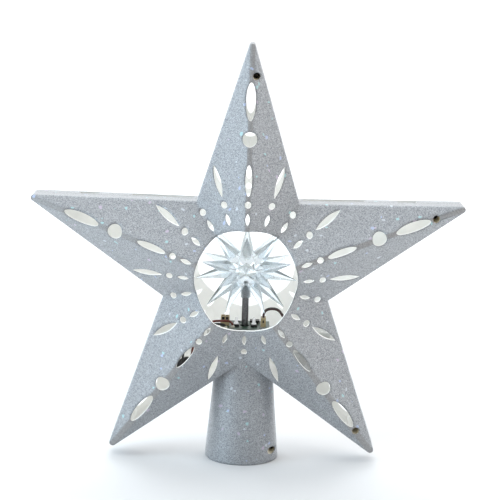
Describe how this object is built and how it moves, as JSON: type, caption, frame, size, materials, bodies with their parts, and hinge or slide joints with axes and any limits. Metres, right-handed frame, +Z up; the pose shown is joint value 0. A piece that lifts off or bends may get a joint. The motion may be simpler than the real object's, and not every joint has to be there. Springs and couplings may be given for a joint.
{
  "type": "christmas tree topper star",
  "caption": "Lit tree topper star: perforated faceted shells on a hollow conical neck, with a clear spiked prism that a small geared motor turns above a circuit board.",
  "frame": {"origin": "centre of the neck's foot, on the surface that the star stands on", "axes": "+Z up through the top arm; +X to the right arm as the screw side is seen; the shells part at Y = 0 and the screw side faces -Y"},
  "size_m": [0.2164, 0.0738, 0.2117],
  "materials": {
    "glitter": "silver glitter over pale plastic",
    "clear": "clear moulded plastic with a faint blue tint",
    "steel": "turned steel",
    "can": "drawn steel",
    "white_gear": "moulded",
    "gearbox": "moulded",
    "bush": "turned",
    "black_plastic": "moulded",
    "contacts": "tinned",
    "board": "solder mask",
    "lamp": "water-clear lens",
    "connector": "moulded",
    "black_wire": "insulated wire",
    "red_wire": "insulated wire"
  },
  "bodies": {
    "housing": {"front_shell": "glitter", "rear_shell": "glitter", "shell_screws": "steel", "gearbox_screws": "steel", "motor_screws": "steel", "board_screws": "steel", "mounting_screws": "steel", "gear_pins": "steel", "motor_can": "can", "gearbox_tray": "gearbox", "gearbox_cover": "gearbox", "shaft_bush": "bush", "motor_cap": "black_plastic", "power_inlet": "black_plastic", "controller_chip": "black_plastic", "resistors": "black_plastic", "motor_terminals": "contacts", "inlet_pin": "contacts", "inlet_tags": "contacts", "led_leads": "contacts", "header_pins": "contacts", "chip_legs": "contacts", "circuit_board": "board", "leds": "lamp", "header_housing": "connector", "motor_plug": "connector", "motor_wires": "black_wire", "supply_wire_black": "black_wire", "supply_wire_red": "red_wire"},
    "prism": {"prism_upper": "clear", "prism_lower": "clear", "drive_shaft": "steel", "output_gear": "white_gear"},
    "second_idler": {"second_gear": "white_gear"},
    "first_idler": {"first_gear": "white_gear"},
    "rotor": {"motor_shaft": "steel", "motor_pinion": "white_gear"}
  },
  "joints": [
    {"name": "prism_spin", "type": "hinge", "parent": "housing", "child": "prism", "pos_m": [0, 0, 0.098], "axis": [0, 0, 1], "continuous": true},
    {"name": "second_gear_spin", "type": "hinge", "parent": "housing", "child": "second_idler", "pos_m": [0.01, 0, 0.062], "axis": [0, 0, 1], "continuous": true},
    {"name": "first_gear_spin", "type": "hinge", "parent": "housing", "child": "first_idler", "pos_m": [0.02, 0, 0.062], "axis": [0, 0, 1], "continuous": true},
    {"name": "motor_spin", "type": "hinge", "parent": "housing", "child": "rotor", "pos_m": [0.03, 0, 0.058], "axis": [0, 0, 1], "continuous": true}
  ],
  "couplings": [
    {"joint": "second_gear_spin", "follows": "prism_spin", "ratio": -3},
    {"joint": "first_gear_spin", "follows": "prism_spin", "ratio": 9},
    {"joint": "motor_spin", "follows": "prism_spin", "ratio": -27}
  ]
}
